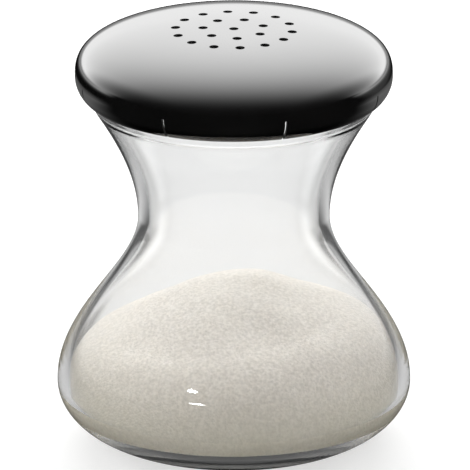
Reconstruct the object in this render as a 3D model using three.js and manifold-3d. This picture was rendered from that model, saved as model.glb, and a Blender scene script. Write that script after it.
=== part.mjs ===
// Salt shaker: a waisted glass body, a push-on sprinkler cap of thin drawn steel, and the salt inside.
// Millimetres, +Z up. The origin is the middle of the foot, on the table. The front is the -Y side.

import * as THREE from 'three';
import { mergeVertices } from 'three/addons/utils/BufferGeometryUtils.js';
import Module from 'manifold-3d';

const wasm = await Module();
wasm.setup();

const degree = Math.PI / 180;

// Sprinkler cap: its outline
const capDiameter = 47.2;
const crownHeight = 7.1;          // from the widest ring up to the top
const crownFullness = 2.9;        // exponent of the crown's curve: 2 is an ellipse, more is a flatter top
const skirtRollRadius = 3.8;      // of the outside of the rolled-in skirt
const skirtRollAngle = 60 * degree;
const sheetThickness = 0.5;

// Sprinkler cap: the holes and the slits, turned as seen from the front
const holeDiameter = 1.4;
const outerRingDiameter = 17.4;
const outerRingCount = 14;
const innerRingDiameter = 9.2;
const innerRingCount = 7;
const outerRingTurn = -71.1 * degree;
const innerRingTurn = -45.4 * degree;
const slitCount = 8;
const slitWidth = 0.4;
const slitLength = 3.4;           // up from the skirt's lower edge

// Glass body
const bodyDiameter = 53;
const waistDiameter = 28.6;
const footDiameter = 28.8;        // outside of the flat ring that stands on the table
const puntDiameter = 21;          // the hollow under the foot
const puntDepth = 0.4;
const bulbRingHeight = 8.4;       // from the table to the widest ring
const waistRise = 25.8;           // from the widest ring to the waist
const neckRise = 17.8;            // from the waist to the collar that the cap goes over
const collarHeight = 8.2;         // from there to the top of the lip
const bulbPull = 10.1;            // how far the bulb keeps its width above the widest ring
const waistPullBelow = 8.4;       // how far the waist keeps its width, downwards and upwards
const waistPullAbove = 6;
const flarePull = 7.2;            // how far the flare runs straight, down from the collar
const flareAngle = 34 * degree;   // of the flare, from upright
const wallThickness = 1.6;
const baseThickness = 1.5;        // at the middle of the foot

// Salt
const saltFillShare = 0.34;       // of the bulb's side, from the widest ring up, that the salt covers
const saltHeapRise = 6.5;         // of the heap's top above its edge

// Clearances
const capClearance = 0.3;         // round the collar, inside the skirt's mouth
const seatClearance = 0.3;        // between the crown and the lip that carries it
const saltClearance = 0.3;        // between the salt and the glass
const cutOverrun = 1;             // how far a cutting tool passes the sheet

// Facets
const facetsRound = 64;
const facetsHole = 10;
const crownSteps = 12;
const skirtSteps = 5;
const puntSteps = 3;
const baseSteps = 5;
const bulbSteps = 9;
const neckSteps = 6;
const lipSteps = 4;
const sideSteps = 3;
const heapSteps = 6;
const weldDistance = 1e-5;

// What follows from these sizes
const capRadius = capDiameter / 2;
const bodyRadius = bodyDiameter / 2;
const waistRadius = waistDiameter / 2;
const footRadius = footDiameter / 2;
const puntRadius = puntDiameter / 2;
const lipRadius = wallThickness / 2;
const rollCentre = capRadius - skirtRollRadius;
const mouthRadius = rollCentre + (skirtRollRadius - sheetThickness) * Math.cos(skirtRollAngle);
const collarRadius = mouthRadius - capClearance;
const waistHeight = bulbRingHeight + waistRise;
const collarFoot = waistHeight + neckRise;
const lipTop = collarFoot + collarHeight;
const capRingHeight = seatedCapRing();
const skirtEdge = capRingHeight - skirtRollRadius * Math.sin(skirtRollAngle);

// Heights of the cap's crown above its widest ring, at a distance from the axis
function crownRise(distance, inset) {
  const share = distance / (capRadius - inset);
  return (crownHeight - inset) * (1 - share ** crownFullness) ** (1 / crownFullness);
}

// The height of the cap's widest ring when the inside of its crown rests on the rounded lip
function seatedCapRing() {
  const lipCentre = collarRadius - lipRadius;
  const reach = capRadius - sheetThickness;
  const share = lipCentre / reach;
  const rise = crownRise(lipCentre, sheetThickness);
  const fall = (rise / reach) * share ** (crownFullness - 1) / (1 - share ** crownFullness);
  const slope = Math.atan(fall);
  return lipTop - lipRadius + (lipRadius + seatClearance) / Math.cos(slope) - rise;
}

// A closed geometry as a solid that can be joined and cut
function solid(geometry) {
  geometry.deleteAttribute('normal');
  geometry.deleteAttribute('uv');
  const welded = mergeVertices(geometry, weldDistance);
  const corners = welded.index.array;
  const triangles = [];
  for (let i = 0; i < corners.length; i += 3) {
    const [a, b, c] = [corners[i], corners[i + 1], corners[i + 2]];
    if (a !== b && b !== c && c !== a) {
      triangles.push(a, b, c);
    }
  }
  const positions = new Float32Array(welded.attributes.position.array);
  const triVerts = new Uint32Array(triangles);
  return new wasm.Manifold(new wasm.Mesh({ numProp: 3, vertProperties: positions, triVerts }));
}

// An outline of [radius, height] points turned about the upright axis
function revolved(outline) {
  const points = outline.map(([radius, height]) => new THREE.Vector2(radius, height));
  const geometry = new THREE.LatheGeometry(points, facetsRound);
  geometry.rotateX(Math.PI / 2);
  return solid(geometry);
}

// A solid as a named mesh with its material
function namedMesh(name, shape, material) {
  const { vertProperties, triVerts } = shape.getMesh();
  const geometry = new THREE.BufferGeometry();
  geometry.setAttribute('position', new THREE.BufferAttribute(vertProperties, 3));
  geometry.setIndex(new THREE.BufferAttribute(triVerts, 1));
  geometry.computeVertexNormals();
  const mesh = new THREE.Mesh(geometry, material);
  mesh.name = name;
  return mesh;
}

// Points along a cubic curve through [radius, height] corners, up to a share of it
function curvePoints(corners, steps, share) {
  const curve = new THREE.CubicBezierCurve(...corners.map(([radius, height]) => new THREE.Vector2(radius, height)));
  const points = [];
  for (let i = 0; i <= steps; i += 1) {
    const point = curve.getPoint((i / steps) * share);
    points.push([point.x, point.y]);
  }
  return points;
}

// The rounded bottom of the bulb, from the flat of its foot out to the widest ring
function basePoints(inset, floor) {
  const points = [];
  for (let i = 0; i <= baseSteps; i += 1) {
    const angle = (i / baseSteps) * 90 * degree;
    const radius = footRadius + (bodyRadius - inset - footRadius) * Math.sin(angle);
    points.push([radius, floor + (bulbRingHeight - floor) * (1 - Math.cos(angle))]);
  }
  return points;
}

// The side of the bulb, from the widest ring up towards the waist
function bulbPoints(inset, steps, share) {
  const ring = bodyRadius - inset;
  const waist = waistRadius - inset;
  const fullest = [ring, bulbRingHeight + bulbPull];
  const slimmest = [waist, waistHeight - waistPullBelow];
  return curvePoints([[ring, bulbRingHeight], fullest, slimmest, [waist, waistHeight]], steps, share);
}

// The neck, from the waist up and out to the foot of the collar
function neckPoints(inset) {
  const waist = waistRadius - inset;
  const collar = collarRadius - inset;
  const slimmest = [waist, waistHeight + waistPullAbove];
  const straight = [collar - flarePull * Math.sin(flareAngle), collarFoot - flarePull * Math.cos(flareAngle)];
  return curvePoints([[waist, waistHeight], slimmest, straight, [collar, collarFoot]], neckSteps, 1);
}

// The wall from the foot to the collar
function wallPoints(inset, floor) {
  return [...basePoints(inset, floor), ...bulbPoints(inset, bulbSteps, 1).slice(1), ...neckPoints(inset).slice(1)];
}

// The lip, over the top of the collar from the outside to the inside
function lipPoints() {
  const points = [];
  for (let i = 0; i <= lipSteps; i += 1) {
    const angle = (i / lipSteps) * 180 * degree;
    const radius = collarRadius - lipRadius + lipRadius * Math.cos(angle);
    points.push([radius, lipTop - lipRadius + lipRadius * Math.sin(angle)]);
  }
  return points;
}

// The hollow under the foot, from the axis out to the standing ring
function puntPoints() {
  const points = [];
  for (let i = 0; i <= puntSteps; i += 1) {
    const share = i / puntSteps;
    points.push([puntRadius * share, puntDepth * (1 - share ** 2)]);
  }
  return points;
}

// The glass body: one open vessel
function glassBody() {
  const floor = puntDepth + baseThickness;
  const inside = wallPoints(wallThickness, floor).reverse();
  const outline = [...puntPoints(), ...wallPoints(0, 0), ...lipPoints(), ...inside, [0, floor]];
  const material = new THREE.MeshStandardMaterial({
    color: 0xeaeeee, roughness: 0.04, metalness: 0, transparent: true, opacity: 0.35,
  });
  return namedMesh('glass_body', revolved(outline), material);
}

// One face of the cap's sheet, from the top of the crown out and round the skirt
function sheetPoints(inset) {
  const points = [];
  for (let i = 0; i <= crownSteps; i += 1) {
    const angle = (i / crownSteps) * 90 * degree;
    const radius = (capRadius - inset) * Math.sin(angle) ** (2 / crownFullness);
    points.push([radius, capRingHeight + crownRise(radius, inset)]);
  }
  for (let i = 1; i <= skirtSteps; i += 1) {
    const angle = (i / skirtSteps) * skirtRollAngle;
    const roll = skirtRollRadius - inset;
    points.push([rollCentre + roll * Math.cos(angle), capRingHeight - roll * Math.sin(angle)]);
  }
  return points;
}

// Upright pins where a ring of holes goes through the crown
function holePins(count, ringDiameter, turn) {
  const pins = [];
  for (let i = 0; i < count; i += 1) {
    const angle = turn + (i / count) * 360 * degree;
    const pin = new THREE.CylinderGeometry(holeDiameter / 2, holeDiameter / 2, crownHeight, facetsHole);
    pin.rotateX(Math.PI / 2);
    pin.translate(0, -ringDiameter / 2, capRingHeight + crownHeight);
    pin.rotateZ(angle);
    pins.push(solid(pin));
  }
  return pins;
}

// Upright blades where the slits part the skirt into spring tongues
function slitBlades() {
  const blades = [];
  const inner = mouthRadius - cutOverrun;
  const outer = capRadius + cutOverrun;
  const height = slitLength + cutOverrun;
  for (let i = 0; i < slitCount; i += 1) {
    const angle = outerRingTurn + (i / slitCount) * 360 * degree;
    const blade = new THREE.BoxGeometry(slitWidth, outer - inner, height);
    blade.translate(0, -(inner + outer) / 2, skirtEdge - cutOverrun + height / 2);
    blade.rotateZ(angle);
    blades.push(solid(blade));
  }
  return blades;
}

// The sprinkler cap: one drawn sheet with a domed crown and a rolled-in skirt, pierced and slit
function sprinklerCap() {
  const outline = [...sheetPoints(sheetThickness), ...sheetPoints(0).reverse()];
  const cuts = [
    ...holePins(1, 0, 0),
    ...holePins(innerRingCount, innerRingDiameter, innerRingTurn),
    ...holePins(outerRingCount, outerRingDiameter, outerRingTurn),
    ...slitBlades(),
  ];
  const sheet = cuts.reduce((rest, cut) => rest.subtract(cut), revolved(outline));
  const material = new THREE.MeshStandardMaterial({ color: 0xc8c8c8, roughness: 0.08, metalness: 1 });
  return namedMesh('sprinkler_cap', sheet, material);
}

// The salt: it fills the bulb up to its edge, with a low heap on top
function saltFill() {
  const inset = wallThickness + saltClearance;
  const floor = puntDepth + baseThickness + saltClearance;
  const side = bulbPoints(inset, sideSteps, saltFillShare);
  const [edgeRadius, edgeHeight] = side[sideSteps];
  const heap = [];
  for (let i = 1; i <= heapSteps; i += 1) {
    const share = 1 - i / heapSteps;
    heap.push([edgeRadius * share, edgeHeight + saltHeapRise * (1 - share ** 2) ** 2]);
  }
  const outline = [[0, floor], ...basePoints(inset, floor), ...side.slice(1), ...heap];
  const material = new THREE.MeshStandardMaterial({ color: 0xe5e1d8, roughness: 0.95, metalness: 0 });
  return namedMesh('salt_fill', revolved(outline), material);
}

const shaker = new THREE.Group();
shaker.add(glassBody(), sprinklerCap(), saltFill());

export default shaker;
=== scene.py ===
import math

import bmesh
import bpy
import numpy as np
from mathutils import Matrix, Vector, noise


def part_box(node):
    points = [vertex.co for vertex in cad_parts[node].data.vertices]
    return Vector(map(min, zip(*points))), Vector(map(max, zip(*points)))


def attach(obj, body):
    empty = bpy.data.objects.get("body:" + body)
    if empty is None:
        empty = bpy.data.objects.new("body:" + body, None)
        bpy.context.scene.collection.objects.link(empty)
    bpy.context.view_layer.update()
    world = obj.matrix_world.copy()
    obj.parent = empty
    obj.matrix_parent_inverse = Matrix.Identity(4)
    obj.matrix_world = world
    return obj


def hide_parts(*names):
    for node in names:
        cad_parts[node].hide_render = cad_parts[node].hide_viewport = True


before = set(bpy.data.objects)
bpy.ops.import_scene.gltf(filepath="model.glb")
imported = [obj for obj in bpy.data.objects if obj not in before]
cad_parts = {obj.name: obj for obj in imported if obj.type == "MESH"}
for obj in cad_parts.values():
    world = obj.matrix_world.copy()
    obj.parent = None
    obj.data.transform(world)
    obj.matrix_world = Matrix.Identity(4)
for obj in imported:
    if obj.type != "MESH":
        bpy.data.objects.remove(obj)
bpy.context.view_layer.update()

MM = 0.001

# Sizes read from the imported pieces
cap_low, cap_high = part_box("sprinkler_cap")
glass_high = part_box("glass_body")[1]
CAP_RADIUS = cap_high.x
CROWN_TOP = cap_high.z
BODY_RADIUS = glass_high.x
LIP_TOP = glass_high.z

# The cap's sheet
CROWN_HEIGHT = 7.1 * MM
CROWN_FULLNESS = 2.9
ROLL_RADIUS = 3.8 * MM
ROLL_ANGLE = math.radians(60)
SHEET = 0.5 * MM
RING_HEIGHT = CROWN_TOP - CROWN_HEIGHT
ROLL_CENTRE = CAP_RADIUS - ROLL_RADIUS
MOUTH_RADIUS = ROLL_CENTRE + (ROLL_RADIUS - SHEET) * math.cos(ROLL_ANGLE)
CAP_CLEARANCE = 0.3 * MM
# Heights over which painted shade darkens the skirt's lowest edge, fading out upwards
HEM_PAINTED_SHADE = (cap_low.z + 0.9 * MM, cap_low.z + 2 * MM)

# Holes and slits
HOLE_RADIUS = 0.7 * MM
OUTER_RING = 8.7 * MM
OUTER_COUNT = 14
OUTER_TURN = math.radians(-71.1)
INNER_RING = 4.6 * MM
INNER_COUNT = 7
INNER_TURN = math.radians(-45.4)
SLIT_COUNT = 8
SLIT_WIDTH = 0.32 * MM
SLIT_LENGTH = 3.4 * MM

# The glass
WALL = 1.6 * MM
BASE = 1.5 * MM
PUNT_DEPTH = 0.4 * MM
PUNT_RADIUS = 10.5 * MM
FOOT_RADIUS = 14.4 * MM
WAIST_RADIUS = 14.3 * MM
COLLAR_RADIUS = MOUTH_RADIUS - CAP_CLEARANCE
BULB_RING = 8.4 * MM
WAIST_HEIGHT = BULB_RING + 25.8 * MM
COLLAR_FOOT = WAIST_HEIGHT + 17.8 * MM
BULB_PULL = 10.1 * MM
WAIST_PULL_BELOW = 8.4 * MM
WAIST_PULL_ABOVE = 6 * MM
FLARE_PULL = 7.2 * MM
FLARE_ANGLE = math.radians(34)
COLLAR_ROUND = 0.5 * MM
COLLAR_STREAKS = (49 * MM, 51.5 * MM, 54 * MM, 56 * MM)
SCORE_HEIGHT = COLLAR_FOOT - 0.25 * MM
SCORE_DEPTH = 0.08 * MM
SCORE_WIDTH = 0.2 * MM
SCORE_REACH = 0.7 * WALL
GROUND_EDGE = (0.02 * MM, 0.3 * MM)

# The salt
SALT_GAP = 0.06 * MM
SALT_PRESS = 0.03 * MM
PACKED_LOW = 2.7 * MM
PACKED_HIGH = 7 * MM
SALT_FLOOR = PUNT_DEPTH + BASE + SALT_GAP
SALT_FILL_SHARE = 0.29
SALT_RISE = 7.8 * MM
SALT_LEAN = 0.1
SHOULDER_BELOW = 3.2 * MM
SHOULDER_INSIDE = 4.5 * MM
LOOSE_ABOVE = 1.4 * MM
LOOSE_BELOW = 0.3 * MM
RIM_REACH = 0.85 * BODY_RADIUS
HEAP_POWER = 1.5
LUMP = 7 * MM
LUMP_RISE = 0.5 * MM
GRAIN = 0.32 * MM
# Heights over which painted shade on the salt fades out upwards
PAINTED_SALT_SHADE = (3 * MM, 19 * MM)

# Levels of light, of the table's own colour and of the painted light and glow it shows, where 1 shows as
# white
WORLD_LEVEL = 0.35
TABLE_WHITE = 0.5
TABLE_LIFT = 0.25
CAMERA_LIFT = 0.33
GLEAM_LIFT = 0.5
HORIZON_TONE = 0.25
NEAR_TONE = 0.11
RIGHT_TONE = 0.04
TABLE_DARKEST = 0.003
WORLD_DARKEST = 0.004
SWEEP_TONE = 0.95

# The same for rays that the glass has mirrored inside itself, off the table and off the world
INNER_DARKEST = 0.1
INNER_BRIGHT = 0.9
INNER_AWAY = 0.35
INNER_WORLD = 0.3
INNER_BACK = 0.3

# How many bounces light may take inside the glass, and how far the table goes from its middle, in metres
LONGEST_WAY = 32
TABLE_REACH = 3.0

# Shares of a heading, from -1 to 1: where a tone starts and where it is full
HORIZON_BACK = (0.02, 0.35)
HORIZON_UP = (0.0, 0.085)
SIDE_FADE = (0.6, 1.0)
BRIGHT_BACK = (0.7, 1.0)

# The sweep that steel mirrors: over what angle and how steeply it fades to the front, and what the sides lose
SWEEP_ANGLE = math.radians(162.5)
SWEEP_POWER = 3
SWEEP_FLAT = 0.1
SIDE_LOSS = 0.7

# How dark the table's shaded places get through the glass, and how fast the clear lane between them widens
SHADE_DEPTH = 0.9
LANE_WIDENS = 0.3

# Places on the table, in metres: where a tone starts and where it is full
RING_INNER = (0.085, 0.125)
RING_OUTER = (0.19, 0.23)
RING_BACK = (-0.03, 0.02)
LANE = (-0.014, 0.008)
FLANK_SIDE = (0.0275, 0.0335)
FLANK_FRONT = (0.03, 0.052)
FLANK_BACK = (0.062, 0.088)
GLEAM_SIDE = (0.02, 0.03)
GLEAM_FRONT = (0.085, 0.105)
GLEAM_BACK = (0.12, 0.15)
INNER_SIDE = (0.015, 0.08)
INNER_FRONT = (-0.022, 0.012)
INNER_FAR = (0.28, 0.9)
NEAR_FRONT = (0.005, 0.09)
NEAR_END = (0.172, 0.205)
BEYOND_FAR = (0.28, 1.1)
RIGHT_SIDE = (0.08, 0.2)
RIGHT_FRONT = (0.03, 0.13)

# What the soft lamps look at
LAMP_AIM = Vector((0, 0, 20 * MM))

# The two windows that show as highlights on the bulb's front
WINDOW_AIM = Vector((-6 * MM, -25.3 * MM, 14.5 * MM))
WINDOW_DISTANCE = 0.13
WINDOW_STRENGTH = 0.22
WINDOW_SPREAD = math.radians(12)

# How finely the round pieces are turned
TURNS = 256
SALT_TURNS = 360
SALT_STEPS = 150


# Materials: numbers are written as expressions, and every other node comes from one method.
class Shade:
    """A number that a shader works out. Its operators add Math nodes to the same tree."""

    def __init__(self, finish, socket):
        self.finish = finish
        self.socket = socket

    def step(self, operation, *values):
        inputs = dict(enumerate(values))
        return self.finish.number("ShaderNodeMath", {"operation": operation}, inputs)

    def __add__(self, other):
        return self.step("ADD", self, other)

    def __sub__(self, other):
        return self.step("SUBTRACT", self, other)

    def __rsub__(self, other):
        return self.step("SUBTRACT", other, self)

    def __mul__(self, other):
        return self.step("MULTIPLY", self, other)

    def __truediv__(self, other):
        return self.step("DIVIDE", self, other)

    def __pow__(self, other):
        return self.step("POWER", self, other)

    __radd__ = __add__
    __rmul__ = __mul__

    def clamped(self):
        return self.finish.number("ShaderNodeClamp", {}, {"Value": self})

    def size(self):
        return self.step("ABSOLUTE", self)

    def between(self, low, high):
        ends = {"Value": self, "From Min": low, "From Max": high}
        return self.finish.number("ShaderNodeMapRange", {"interpolation_type": "SMOOTHSTEP"}, ends)


class Finish:
    """The nodes of one material, or of the world."""

    def __init__(self, tree, ends_in="ShaderNodeOutputMaterial"):
        self.tree = tree
        self.ends_in = ends_in
        tree.nodes.clear()

    def node(self, kind, settings=None, inputs=None):
        made = self.tree.nodes.new(kind)
        for name, value in (settings or {}).items():
            setattr(made, name, value)
        for name, value in (inputs or {}).items():
            if isinstance(value, Shade):
                value = value.socket
            if isinstance(value, bpy.types.NodeSocket):
                self.tree.links.new(value, made.inputs[name])
            else:
                made.inputs[name].default_value = value
        return made

    def number(self, kind, settings=None, inputs=None, output=0):
        return Shade(self, self.node(kind, settings, inputs).outputs[output])

    def ray(self, name):
        return self.number("ShaderNodeLightPath", output=name)

    def place(self, scale=1.0):
        """Where a point is, in metres times scale, riding with its piece."""
        spot = self.node("ShaderNodeTexCoord").outputs["Object"]
        inputs = {"Vector": spot, "Scale": (scale,) * 3}
        return self.node("ShaderNodeMapping", {}, inputs).outputs[0]

    def cloud(self, size, detail=2.0, roughness=0.5):
        """Soft noise from 0 to 1 whose blotches are about size metres."""
        inputs = {"Vector": self.place(1 / size), "Scale": 1.0, "Detail": detail, "Roughness": roughness}
        return self.number("ShaderNodeTexNoise", {}, inputs)

    def mixed(self, factor, first, second):
        """A colour between two, each of them a link or three numbers."""
        first, second = (c if isinstance(c, bpy.types.NodeSocket) else (*c, 1) for c in (first, second))
        return self.node("ShaderNodeMix", {"data_type": "RGBA"}, {0: factor, 6: first, 7: second}).outputs[2]

    def bump(self, height, strength, distance):
        inputs = {"Height": height, "Strength": strength, "Distance": distance}
        return self.node("ShaderNodeBump", {}, inputs).outputs[0]

    def blend(self, factor, first, second):
        """One shader between two."""
        return self.node("ShaderNodeMixShader", {}, {0: factor, 1: first, 2: second}).outputs[0]

    def surface(self, shader):
        self.node(self.ends_in, {}, {"Surface": shader})


def new_material(name):
    material = bpy.data.materials.new(name)
    material.use_nodes = True
    return material, Finish(material.node_tree)


def clear_glass():
    material, finish = new_material("clear_glass")
    waves = finish.cloud(9 * MM, detail=1.0)
    marks = finish.cloud(2.5 * MM, detail=3.0)
    height = Shade(finish, finish.node("ShaderNodeSeparateXYZ", {}, {0: finish.place()}).outputs[2])
    ground = 1 - height.between(*GROUND_EDGE)
    stretch = {"Vector": finish.place(), "Scale": (110, 110, 2600)}
    flat = finish.node("ShaderNodeMapping", {}, stretch).outputs[0]
    lines = finish.number("ShaderNodeTexNoise", {}, {"Vector": flat, "Scale": 1.0, "Detail": 2.0})
    collar = height.between(*COLLAR_STREAKS[:2]) * (1 - height.between(*COLLAR_STREAKS[2:]))
    body = finish.node("ShaderNodeBsdfPrincipled", {}, {
        "Base Color": finish.mixed(marks, (0.985, 0.99, 0.988), (0.995, 0.996, 0.995)),
        "Roughness": 0.004 + 0.01 * marks.between(0.5, 0.8) + 0.45 * ground,
        "IOR": 1.5,
        "Transmission Weight": 1.0,
        "Normal": finish.bump(waves + 0.35 * collar * lines, 0.06, 0.25 * MM),
    }).outputs[0]
    air = finish.node("ShaderNodeBsdfTransparent", {}, {"Color": (0.93, 0.94, 0.935, 1)}).outputs[0]
    finish.surface(finish.blend(finish.ray("Is Shadow Ray"), body, air))
    return material


def polished_steel():
    material, finish = new_material("polished_steel")
    haze = finish.cloud(5 * MM, detail=4.0)
    rub = finish.cloud(0.6 * MM, detail=2.0)
    split = finish.node("ShaderNodeSeparateXYZ", {}, {0: finish.place()})
    # Painted shade: the lowest edge of the skirt gets a nearly black colour
    hem = 1 - Shade(finish, split.outputs[2]).between(*HEM_PAINTED_SHADE)
    bright = finish.mixed(haze, (0.80, 0.80, 0.80), (0.83, 0.83, 0.825))
    body = finish.node("ShaderNodeBsdfPrincipled", {}, {
        "Base Color": finish.mixed(hem, bright, (0.07, 0.07, 0.07)),
        "Metallic": 1.0,
        "Roughness": 0.07 + 0.03 * haze.between(0.35, 0.75) + 0.012 * rub,
        "Normal": finish.bump(rub, 0.02, 0.02 * MM),
    }).outputs[0]
    finish.surface(body)
    return material


def raw_shaded_steel():
    """The unpolished inside of the cap and the walls of its holes and slits, their dull colour darkened
    further with painted shade.
    """
    material, finish = new_material("raw_shaded_steel")
    haze = finish.cloud(2 * MM, detail=3.0)
    # Partly the dull colour of unpolished steel, partly painted shade of the cap's dark inside
    body = finish.node("ShaderNodeBsdfPrincipled", {}, {
        "Base Color": finish.mixed(haze, (0.09, 0.09, 0.09), (0.15, 0.15, 0.148)),
        "Metallic": 1.0,
        "Roughness": 0.34 + 0.12 * haze,
        "Normal": finish.bump(haze, 0.05, 0.05 * MM),
    }).outputs[0]
    finish.surface(body)
    return material


def salt_crystals():
    """Fine grains, with painted shade that makes them darker and duller low down."""
    material, finish = new_material("salt_crystals")
    split = finish.node("ShaderNodeSeparateXYZ", {}, {0: finish.place()})
    # Painted shade: the salt's colour is darkened and dulled low down, fading out upwards
    painted_low_shade = 1 - Shade(finish, split.outputs[2]).between(*PAINTED_SALT_SHADE)
    grains = finish.number("ShaderNodeTexVoronoi", {}, {"Vector": finish.place(1 / GRAIN), "Scale": 1.0})
    tint = finish.cloud(0.5 * MM, detail=3.0, roughness=0.7)
    drift = finish.cloud(7 * MM, detail=2.0)
    pale = finish.mixed(tint.between(0.3, 0.7), (0.76, 0.705, 0.645), (0.99, 0.925, 0.86))
    shade = finish.mixed(painted_low_shade * (0.5 + 0.3 * drift), pale, (0.62, 0.59, 0.455))
    body = finish.node("ShaderNodeBsdfPrincipled", {}, {
        "Base Color": shade,
        "Roughness": 0.55 + 0.35 * tint,
        "Specular IOR Level": 0.35,
        "Subsurface Weight": 0.45,
        "Subsurface Radius": (1.0, 0.95, 0.85),
        "Subsurface Scale": 0.5 * MM,
        "Normal": finish.bump(1 - grains, 0.8, 0.1 * MM),
    }).outputs[0]
    finish.surface(body)
    return material


# Outlines are lists of (radius, height), from the axis outwards or upwards.
def arc(centre, radius, start, end, steps):
    points = []
    for i in range(steps + 1):
        angle = start + (end - start) * i / steps
        points.append((centre[0] + radius * math.cos(angle), centre[1] + radius * math.sin(angle)))
    return points


def curve(start, start_pull, end_pull, end, steps, share=1.0):
    points = []
    for i in range(steps + 1):
        t = share * i / steps
        weights = ((1 - t) ** 3, 3 * t * (1 - t) ** 2, 3 * t * t * (1 - t), t ** 3)
        corners = (start, start_pull, end_pull, end)
        points.append(tuple(sum(w * c[k] for w, c in zip(weights, corners)) for k in (0, 1)))
    return points


def base_outline(inset, floor, steps=40):
    points = []
    for i in range(steps + 1):
        angle = math.pi / 2 * i / steps
        radius = FOOT_RADIUS + (BODY_RADIUS - inset - FOOT_RADIUS) * math.sin(angle)
        points.append((radius, floor + (BULB_RING - floor) * (1 - math.cos(angle))))
    return points


def bulb_outline(inset, steps=60, share=1.0):
    ring = BODY_RADIUS - inset
    waist = WAIST_RADIUS - inset
    fullest = (ring, BULB_RING + BULB_PULL)
    slimmest = (waist, WAIST_HEIGHT - WAIST_PULL_BELOW)
    return curve((ring, BULB_RING), fullest, slimmest, (waist, WAIST_HEIGHT), steps, share)


def neck_outline(inset, steps=44):
    waist = WAIST_RADIUS - inset
    collar = COLLAR_RADIUS - inset
    slimmest = (waist, WAIST_HEIGHT + WAIST_PULL_ABOVE)
    straight = (collar - FLARE_PULL * math.sin(FLARE_ANGLE), COLLAR_FOOT - FLARE_PULL * math.cos(FLARE_ANGLE))
    return curve((waist, WAIST_HEIGHT), slimmest, straight, (collar, COLLAR_FOOT), steps)


def rounded(points, corner, radius, steps=6):
    """The outline with one of its corners, given by its index, eased over radius along both sides."""
    before, at, after = points[corner - 1], points[corner], points[corner + 1]
    ends = []
    for other in (before, after):
        run = math.dist(at, other)
        ends.append(tuple(a + (o - a) * min(radius / run, 0.9) for a, o in zip(at, other)))
    bend = []
    for i in range(steps + 1):
        t = i / steps
        weights = ((1 - t) ** 2, 2 * t * (1 - t), t * t)
        bend.append(tuple(sum(w * c[k] for w, c in zip(weights, (ends[0], at, ends[1]))) for k in (0, 1)))
    return points[:corner] + bend + points[corner + 1:]


def scored(points):
    """The outline with the fine line that the mould leaves outside, where the collar meets the neck."""
    made = []
    for radius, height in points:
        depth = SCORE_DEPTH * math.exp(-((height - SCORE_HEIGHT) / SCORE_WIDTH) ** 2)
        made.append((radius - depth * (radius > COLLAR_RADIUS - SCORE_REACH), height))
    return made


def wall_outline(inset, floor):
    side = bulb_outline(inset)[1:]
    neck = neck_outline(inset)[1:]
    return base_outline(inset, floor) + side + neck


def turned(name, outline):
    """A mesh made by turning an outline about the axis. Points on the axis become one vertex."""
    verts, rings = [], []
    for radius, height in outline:
        if radius < 1e-7:
            rings.append([len(verts)])
            verts.append((0, 0, height))
            continue
        rings.append(list(range(len(verts), len(verts) + TURNS)))
        for k in range(TURNS):
            angle = 2 * math.pi * k / TURNS
            verts.append((radius * math.sin(angle), -radius * math.cos(angle), height))
    faces = []
    for low, high in zip(rings, rings[1:]):
        for k in range(TURNS):
            n = (k + 1) % TURNS
            corners = [low[k % len(low)], low[n % len(low)], high[n % len(high)], high[k % len(high)]]
            face = list(dict.fromkeys(corners))
            if len(face) > 2:
                faces.append(face)
    mesh = bpy.data.meshes.new(name)
    mesh.from_pydata(verts, [], faces)
    mesh.validate()
    mesh.shade_smooth()
    return mesh


def new_piece(name, mesh, material):
    piece = bpy.data.objects.new(name, mesh)
    bpy.context.scene.collection.objects.link(piece)
    piece.data.materials.append(material)
    return piece


# The glass
def glass_outline():
    floor = PUNT_DEPTH + BASE
    punt = [(PUNT_RADIUS * i / 16, PUNT_DEPTH * (1 - (i / 16) ** 2)) for i in range(17)]
    lip = arc((COLLAR_RADIUS - WALL / 2, LIP_TOP - WALL / 2), WALL / 2, 0, math.pi, 14)
    outside = wall_outline(0, 0)
    inside = wall_outline(WALL, floor)[::-1]
    outline = punt + outside + lip + inside + [(0, floor)]
    outer_crease = len(punt) + len(outside) - 1
    inner_crease = outer_crease + len(lip) + 1
    return scored(rounded(rounded(outline, inner_crease, COLLAR_ROUND), outer_crease, COLLAR_ROUND, 24))


def make_glass(material):
    piece = new_piece("glass_vessel", turned("glass_vessel", glass_outline()), material)
    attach(piece, "body")
    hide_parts("glass_body")
    return piece


# The cap
def crown_rise(radius, inset):
    share = min(radius / (CAP_RADIUS - inset), 1)
    return (CROWN_HEIGHT - inset) * (1 - share ** CROWN_FULLNESS) ** (1 / CROWN_FULLNESS)


def sheet_outline(inset, steps=56):
    points = []
    for i in range(steps + 1):
        angle = math.pi / 2 * i / steps
        radius = (CAP_RADIUS - inset) * math.sin(angle) ** (2 / CROWN_FULLNESS)
        points.append((radius, RING_HEIGHT + crown_rise(radius, inset)))
    end = ROLL_ANGLE - SHEET / 2 / (ROLL_RADIUS - SHEET / 2)
    return points + arc((ROLL_CENTRE, RING_HEIGHT), ROLL_RADIUS - inset, 0, -end, 18)[1:]


def cap_outline():
    outside = sheet_outline(0)
    inside = sheet_outline(SHEET)
    (ax, az), (bx, bz) = outside[-1], inside[-1]
    middle = ((ax + bx) / 2, (az + bz) / 2)
    start = math.atan2(az - middle[1], ax - middle[0])
    hem = arc(middle, SHEET / 2, start, start - math.pi, 8)[1:-1]
    return outside + hem + inside[::-1]


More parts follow.
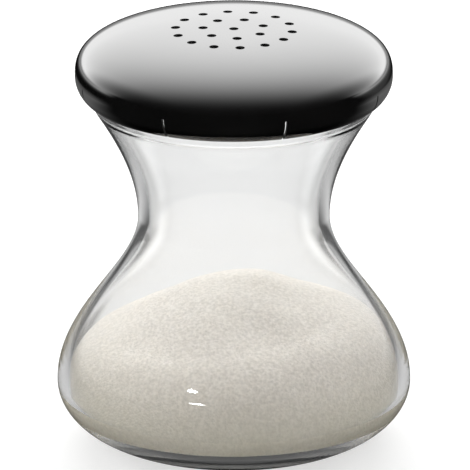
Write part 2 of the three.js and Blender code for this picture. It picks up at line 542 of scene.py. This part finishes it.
def pin_mesh(places):
    """Round pins that pierce the crown, one at each (x, y)."""
    sides = 40
    low, high = RING_HEIGHT, CROWN_TOP + SHEET
    verts, faces = [], []
    for x, y in places:
        first = len(verts)
        for z in (low, high):
            for k in range(sides):
                angle = 2 * math.pi * k / sides
                verts.append((x + HOLE_RADIUS * math.cos(angle), y + HOLE_RADIUS * math.sin(angle), z))
        for k in range(sides):
            n = (k + 1) % sides
            faces.append([first + k, first + n, first + sides + n, first + sides + k])
        faces.append([first + k for k in reversed(range(sides))])
        faces.append([first + sides + k for k in range(sides)])
    return verts, faces


def hole_places():
    places = [(0.0, 0.0)]
    for count, ring, turn in ((INNER_COUNT, INNER_RING, INNER_TURN), (OUTER_COUNT, OUTER_RING, OUTER_TURN)):
        for k in range(count):
            angle = turn + 2 * math.pi * k / count
            places.append((ring * math.sin(angle), -ring * math.cos(angle)))
    return places


def blade_mesh():
    """Upright blades with round tops that slit the skirt."""
    top = cap_low.z + SLIT_LENGTH - SLIT_WIDTH / 2
    half = SLIT_WIDTH / 2
    side = [(-half, cap_low.z - SHEET), (half, cap_low.z - SHEET)]
    side += [(half * math.cos(a), top + half * math.sin(a)) for a in (math.pi * i / 8 for i in range(9))]
    verts, faces = [], []
    for k in range(SLIT_COUNT):
        angle = OUTER_TURN + 2 * math.pi * k / SLIT_COUNT
        out = Vector((math.sin(angle), -math.cos(angle), 0))
        across = Vector((math.cos(angle), math.sin(angle), 0))
        first, count = len(verts), len(side)
        for reach in (MOUTH_RADIUS - 2 * SHEET, CAP_RADIUS + 2 * SHEET):
            verts += [tuple(out * reach + across * s + Vector((0, 0, z))) for s, z in side]
        for i in range(count):
            n = (i + 1) % count
            faces.append([first + i, first + count + i, first + count + n, first + n])
        faces.append([first + i for i in range(count)])
        faces.append([first + count + i for i in reversed(range(count))])
    return verts, faces


def outward(mesh):
    """Turns every face of a closed mesh outwards."""
    work = bmesh.new()
    work.from_mesh(mesh)
    bmesh.ops.recalc_face_normals(work, faces=work.faces)
    work.to_mesh(mesh)
    work.free()


def cut(piece, cutters):
    """The piece's mesh without what the closed cutters take out."""
    for verts, faces in cutters:
        mesh = bpy.data.meshes.new("cutter")
        mesh.from_pydata(verts, [], faces)
        outward(mesh)
        tool = bpy.data.objects.new("cutter", mesh)
        bpy.context.scene.collection.objects.link(tool)
        step = piece.modifiers.new("cut", "BOOLEAN")
        step.operation = "DIFFERENCE"
        step.solver = "EXACT"
        step.object = tool
        graph = bpy.context.evaluated_depsgraph_get()
        made = bpy.data.meshes.new_from_object(piece.evaluated_get(graph))
        piece.modifiers.clear()
        old = piece.data
        piece.data = made
        bpy.data.meshes.remove(old)
        bpy.data.objects.remove(tool)
        bpy.data.meshes.remove(mesh)


def smooth_sheet(mesh, outline):
    """Gives the sheet the normals of its true outline, so that the cuts leave its shine unbroken."""
    points = np.array(outline)
    runs = np.gradient(points, axis=0)
    bows = np.stack([-runs[:, 1], runs[:, 0]], 1) / np.linalg.norm(runs, axis=1, keepdims=True)
    bows *= -1 if bows[0][1] < 0 else 1
    co = np.empty(len(mesh.vertices) * 3)
    mesh.vertices.foreach_get("co", co)
    co = co.reshape(-1, 3)
    reach = np.hypot(co[:, 0], co[:, 1])
    spots = np.stack([reach, co[:, 2]], 1)
    starts, lines = points[:-1], np.diff(points, axis=0)
    squares = np.maximum((lines ** 2).sum(1), 1e-18)
    along = ((spots[:, None] - starts) * lines).sum(2) / squares
    along = np.clip(along, 0, 1)
    gaps = ((starts + lines * along[..., None] - spots[:, None]) ** 2).sum(2)
    nearest = gaps.argmin(1)
    share = along[np.arange(len(nearest)), nearest][:, None]
    bow = bows[nearest] * (1 - share) + bows[nearest + 1] * share
    bow /= np.linalg.norm(bow, axis=1, keepdims=True)
    true = np.column_stack([co[:, :2] / np.maximum(reach, 1e-9)[:, None] * bow[:, :1], bow[:, 1]])
    corners = np.empty(len(mesh.loops), int)
    mesh.loops.foreach_get("vertex_index", corners)
    sizes = np.array([len(p.vertices) for p in mesh.polygons])
    faces = np.repeat(np.array([p.normal for p in mesh.polygons]), sizes, axis=0)
    owner = np.repeat(np.arange(len(sizes)), sizes)
    agrees = (faces * true[corners]).sum(1) > 0.75
    odd = np.zeros(len(sizes), bool)
    odd[owner[~agrees]] = True
    shine = true[corners]
    shine[odd[owner]] = 0
    mesh.normals_split_custom_set(shine.tolist())
    middle = np.zeros(len(sizes))
    np.add.at(middle, owner, nearest[corners])
    raw_and_shaded = odd | (middle / sizes > len(outline) / 2)
    mesh.polygons.foreach_set("material_index", raw_and_shaded.astype(np.int32))


def make_cap(material, inside):
    outline = cap_outline()
    mesh = turned("sprinkler_lid", outline)
    outward(mesh)
    piece = new_piece("sprinkler_lid", mesh, material)
    cut(piece, [pin_mesh(hole_places()), blade_mesh()])
    piece.data.materials.append(inside)
    smooth_sheet(piece.data, outline)
    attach(piece, "cap")
    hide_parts("sprinkler_cap")
    return piece


# The salt
def wall_point(share):
    """A point on the salt's side: share -1 is the floor's rim, 0 the fullest ring, and above 0 up the bulb.
    Round the bulb's lower turn the grains are packed against the glass; elsewhere a little air is between."""
    if share > 0:
        return bulb_outline(WALL + SALT_GAP, 1, share)[-1]
    angle = math.pi / 2 * (1 + share)
    height = SALT_FLOOR + (BULB_RING - SALT_FLOOR) * (1 - math.cos(angle))
    above = (height - PACKED_HIGH) / LOOSE_ABOVE
    below = (PACKED_LOW - height) / LOOSE_BELOW
    loose = min(max(above, below, 0.0), 1.0)
    inset = WALL - SALT_PRESS + (SALT_GAP + SALT_PRESS) * loose
    return FOOT_RADIUS + (BODY_RADIUS - inset - FOOT_RADIUS) * math.sin(angle), height


def wall_share(height):
    """How far up the bulb its inside reaches a height."""
    low, high = 0.0, 0.7
    for _ in range(30):
        middle = (low + high) / 2
        if wall_point(middle)[1] < height:
            low = middle
        else:
            high = middle
    return low


def eased(points, corner, before, after, steps=24):
    """The outline with its corner eased over a length before it and a length after it."""
    points = np.array(points)
    along = np.concatenate([[0], np.cumsum(np.linalg.norm(np.diff(points, axis=0), axis=1))])
    start, end = along[corner] - before, along[corner] + after
    first, last = (np.array([np.interp(s, along, points[:, k]) for k in (0, 1)]) for s in (start, end))
    t = np.linspace(0, 1, steps)[:, None]
    bow = (1 - t) ** 2 * first + 2 * t * (1 - t) * points[corner] + t * t * last
    return np.vstack([points[along < start], bow, points[along > end]])


def resampled(points, count):
    """The same outline with its points evenly spaced."""
    along = np.concatenate([[0], np.cumsum(np.linalg.norm(np.diff(points, axis=0), axis=1))])
    even = np.linspace(0, along[-1], count)
    return np.stack([np.interp(even, along, points[:, k]) for k in (0, 1)], 1)


def salt_column(angle):
    """The salt's outline at one angle: up the glass, over an eased shoulder, up the heap to the middle."""
    x, y = math.sin(angle), -math.cos(angle)
    rim = wall_point(SALT_FILL_SHARE)[1]
    top = wall_share(rim + SALT_LEAN * x * RIM_REACH)
    side = [wall_point(-1 + (1 + top) * i / 60) for i in range(61)]
    edge, height = side[-1]
    heap = []
    for i in range(1, 101):
        share = 1 - i / 100
        spot = Vector((x, y, 0)) * edge * share
        lumps = noise.noise(spot / LUMP) * LUMP_RISE * (1 - share ** 4)
        level = rim + SALT_LEAN * spot.x + (height - rim - SALT_LEAN * x * edge) * share ** 4
        heap.append((edge * share, level + SALT_RISE * (1 - share * share) ** HEAP_POWER + lumps))
    return resampled(eased(side + heap, 60, SHOULDER_BELOW, SHOULDER_INSIDE), SALT_STEPS)


def salt_mesh():
    """A heap on the round floor that leans up to the right."""
    verts, faces = [(0, 0, SALT_FLOOR)], []
    for k in range(SALT_TURNS):
        angle = 2 * math.pi * k / SALT_TURNS
        column = salt_column(angle)
        verts += [(math.sin(angle) * r, -math.cos(angle) * r, z) for r, z in column[:-1]]
    verts.append((0, 0, column[-1][1]))
    row = SALT_STEPS - 1
    for k in range(SALT_TURNS):
        here, there = 1 + k * row, 1 + (k + 1) % SALT_TURNS * row
        faces.append((0, there, here))
        for i in range(row - 1):
            faces.append((here + i, there + i, there + i + 1, here + i + 1))
        faces.append((here + row - 1, there + row - 1, len(verts) - 1))
    mesh = bpy.data.meshes.new("salt_heap")
    mesh.from_pydata(verts, [], faces)
    outward(mesh)
    mesh.shade_smooth()
    return mesh


def make_salt(material):
    piece = new_piece("salt_heap", salt_mesh(), material)
    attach(piece, "body")
    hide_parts("salt_fill")
    return piece


# Camera: it looks along +Y, down at the shaker, from where the photograph was taken
FRAME_PIXELS = 470
PIXELS_PER_METRE = 6696
EYE_DISTANCE = 1.2
EYE_RISE = math.radians(19.42)
AIM = Vector((0.17 * MM, 0, 30.95 * MM))


def make_camera():
    data = bpy.data.cameras.new("eye")
    data.sensor_width = 36
    data.lens = PIXELS_PER_METRE * EYE_DISTANCE / FRAME_PIXELS * data.sensor_width
    eye = bpy.data.objects.new("eye", data)
    bpy.context.scene.collection.objects.link(eye)
    back = Vector((0, -math.cos(EYE_RISE), math.sin(EYE_RISE)))
    eye.location = AIM + back * EYE_DISTANCE
    eye.rotation_mode = "QUATERNION"
    eye.rotation_quaternion = (-back).to_track_quat("-Z", "Y")
    bpy.context.scene.camera = eye


# Stage
def straight_view(finish):
    """1 for the eye's own rays and for those that glass bends but doesn't mirror."""
    passed = finish.ray("Is Transmission Ray") * (1 - finish.ray("Glossy Depth").clamped())
    return (finish.ray("Is Camera Ray") + passed).clamped()


def make_floor():
    """A white table. Seen through the glass it has painted shade and a painted patch of light behind the
    shaker.
    What steel or the inside of the glass mirrors of it is a painted glow, darker, and nearly black in front."""
    material, finish = new_material("white_table")
    spot = finish.place()
    split = finish.node("ShaderNodeSeparateXYZ", {}, {0: spot})
    side, back = (Shade(finish, split.outputs[k]) for k in (0, 1))
    far = finish.number("ShaderNodeVectorMath", {"operation": "LENGTH"}, {0: spot}, "Value")
    lane = 1 - (side.size() - LANE_WIDENS * back).between(*LANE)
    ring = far.between(*RING_INNER) * (1 - far.between(*RING_OUTER)) * back.between(*RING_BACK)
    passed = finish.ray("Is Transmission Ray")
    straight = straight_view(finish)
    # The painted glow that mirrored and bent rays see in place of the lit table
    inner = INNER_DARKEST + INNER_BRIGHT * (1 - side.size().between(*INNER_SIDE)) * back.between(*INNER_FRONT)
    inner = inner + INNER_AWAY * far.between(*INNER_FAR)
    near = NEAR_TONE * back.between(*NEAR_FRONT) * (1 - far.between(*NEAR_END))
    beyond = HORIZON_TONE * far.between(*BEYOND_FAR) * (back / far).between(*HORIZON_BACK)
    right = RIGHT_TONE * side.between(*RIGHT_SIDE) * back.between(*RIGHT_FRONT)
    outer = TABLE_DARKEST + near + beyond + right
    level = passed * inner + (1 - passed) * outer
    glow = finish.node("ShaderNodeCombineColor", {}, {0: level, 1: level, 2: level}).outputs[0]
    mirrored = finish.node("ShaderNodeEmission", {}, {"Color": glow}).outputs[0]
    # Painted shade around and beside the shaker and a painted patch of light, seen only straight through the
    # glass
    flank = side.size().between(*FLANK_SIDE) * back.between(*FLANK_FRONT) * (1 - back.between(*FLANK_BACK))
    shade = passed * straight * (ring * (1 - lane) + flank).clamped() * SHADE_DEPTH
    gleam = passed * straight * side.size().between(*GLEAM_SIDE) * back.between(*GLEAM_FRONT)
    gleam = gleam * (1 - back.between(*GLEAM_BACK))
    white = finish.mixed(shade, (TABLE_WHITE,) * 3, (0.0, 0.0, 0.0))
    paper = finish.node("ShaderNodeBsdfDiffuse", {}, {"Color": white}).outputs[0]
    rise = (TABLE_LIFT + CAMERA_LIFT * finish.ray("Is Camera Ray")) * (1 - shade) + GLEAM_LIFT * gleam
    soft = finish.node("ShaderNodeCombineColor", {}, {0: rise, 1: rise, 2: rise}).outputs[0]
    lift = finish.node("ShaderNodeEmission", {}, {"Color": soft}).outputs[0]
    plain = finish.node("ShaderNodeAddShader", {}, {0: paper, 1: lift}).outputs[0]
    bent = (finish.ray("Is Glossy Ray") + passed).clamped() * (1 - straight)
    finish.surface(finish.blend(bent, plain, mirrored))
    corners = [(TABLE_REACH * x, TABLE_REACH * y, 0) for x, y in ((-1, -1), (1, -1), (1, 1), (-1, 1))]
    mesh = bpy.data.meshes.new("table")
    mesh.from_pydata(corners, [], [(0, 1, 2, 3)])
    new_piece("table", mesh, material)


def make_world():
    """Plain light, white for the eye.
    Steel and glass mirror a white sweep that fades from the back over the top to the front."""
    world = bpy.data.worlds.new("studio")
    bpy.context.scene.world = world
    world.use_nodes = True
    finish = Finish(world.node_tree, "ShaderNodeOutputWorld")
    heading = finish.node("ShaderNodeTexCoord").outputs["Generated"]
    split = finish.node("ShaderNodeSeparateXYZ", {}, {0: heading})
    side, back, up = (Shade(finish, split.outputs[k]) for k in range(3))
    tilt = up.step("ARCTAN2", SWEEP_FLAT + (1 - SWEEP_FLAT) * up.size(), back)
    sweep = ((math.pi - tilt) / SWEEP_ANGLE).clamped()
    level = SWEEP_TONE * sweep ** SWEEP_POWER * (1 - SIDE_LOSS * side.size().between(*SIDE_FADE))
    edge = HORIZON_TONE * back.between(*HORIZON_BACK)
    level = WORLD_DARKEST + edge + (level - edge) * up.between(*HORIZON_UP)
    passed = finish.ray("Is Transmission Ray")
    level = level + passed * (INNER_WORLD + INNER_BACK * back.between(*BRIGHT_BACK) - level)
    seen = straight_view(finish)
    bent = (finish.ray("Is Glossy Ray") + passed).clamped() * (1 - seen)
    tone = seen + bent * level + (1 - seen) * (1 - bent) * WORLD_LEVEL
    colour = finish.node("ShaderNodeCombineColor", {}, {0: tone, 1: tone, 2: tone}).outputs[0]
    finish.surface(finish.node("ShaderNodeBackground", {}, {"Color": colour}).outputs[0])


def make_lamp(name, azimuth, rise, distance, size, energy, aim):
    """A lamp that looks at aim. Azimuth and rise are in degrees: azimuth 0 is the back and 90 the right."""
    azimuth, rise = math.radians(azimuth), math.radians(rise)
    flat = distance * math.cos(rise)
    away = Vector((flat * math.sin(azimuth), flat * math.cos(azimuth), distance * math.sin(rise)))
    data = bpy.data.lights.new(name, "AREA")
    data.shape = "RECTANGLE"
    data.size, data.size_y = size
    data.energy = energy
    lamp = bpy.data.objects.new(name, data)
    bpy.context.scene.collection.objects.link(lamp)
    lamp.location = aim + away
    lamp.rotation_mode = "QUATERNION"
    lamp.rotation_quaternion = (-away).to_track_quat("-Z", "Y")
    lamp.visible_camera = False
    lamp.visible_glossy = False
    lamp.visible_transmission = False
    return lamp


def make_softbox(name, azimuth, rise, distance, size, level):
    """A soft lamp that gives an upward face at the shaker this much light."""
    energy = level * (math.pi * distance) ** 2 / math.sin(math.radians(rise))
    make_lamp(name, azimuth, rise, distance, size, energy, LAMP_AIM)


def make_glint(name, azimuth, rise, size, glass):
    """A small bright window whose narrow light only the bulb's front mirrors."""
    energy = WINDOW_STRENGTH * math.pi * size[0] * size[1]
    lamp = make_lamp(name, azimuth, rise, WINDOW_DISTANCE, size, energy, WINDOW_AIM)
    lamp.data.shape = "ELLIPSE"
    lamp.data.spread = WINDOW_SPREAD
    lamp.visible_glossy = True
    lamp.visible_diffuse = False
    lamp.data.use_nodes = True
    finish = Finish(lamp.data.node_tree, "ShaderNodeOutputLight")
    first = 1 - finish.ray("Transmission Depth").clamped()
    finish.surface(finish.node("ShaderNodeEmission", {}, {"Strength": first}).outputs[0])
    only = bpy.data.collections.new(name)
    only.objects.link(glass)
    lamp.light_linking.receiver_collection = only


def allow_long_ways():
    """Light runs round inside the glass wall for more than 20 bounces before it leaves it."""
    paths = bpy.context.scene.cycles
    paths.max_bounces = LONGEST_WAY
    paths.glossy_bounces = LONGEST_WAY
    paths.transmission_bounces = LONGEST_WAY


def make_stage(glass):
    allow_long_ways()
    make_floor()
    make_world()
    make_softbox("back_softbox", azimuth=0, rise=34, distance=0.7, size=(0.5, 0.25), level=0.56)
    make_softbox("left_softbox", azimuth=-75, rise=40, distance=0.6, size=(0.25, 0.25), level=0.22)
    make_softbox("right_softbox", azimuth=70, rise=40, distance=0.6, size=(0.25, 0.25), level=0.17)
    make_softbox("front_softbox", azimuth=-165, rise=24, distance=0.7, size=(0.4, 0.2), level=0.05)
    make_glint("upper_window", azimuth=-150, rise=30, size=(0.018, 0.006), glass=glass)
    make_glint("lower_window", azimuth=-155.5, rise=19, size=(0.028, 0.004), glass=glass)
    bpy.context.scene.view_settings.view_transform = "Standard"


make_camera()
vessel = make_glass(clear_glass())
make_cap(polished_steel(), raw_shaded_steel())
make_salt(salt_crystals())
make_stage(vessel)
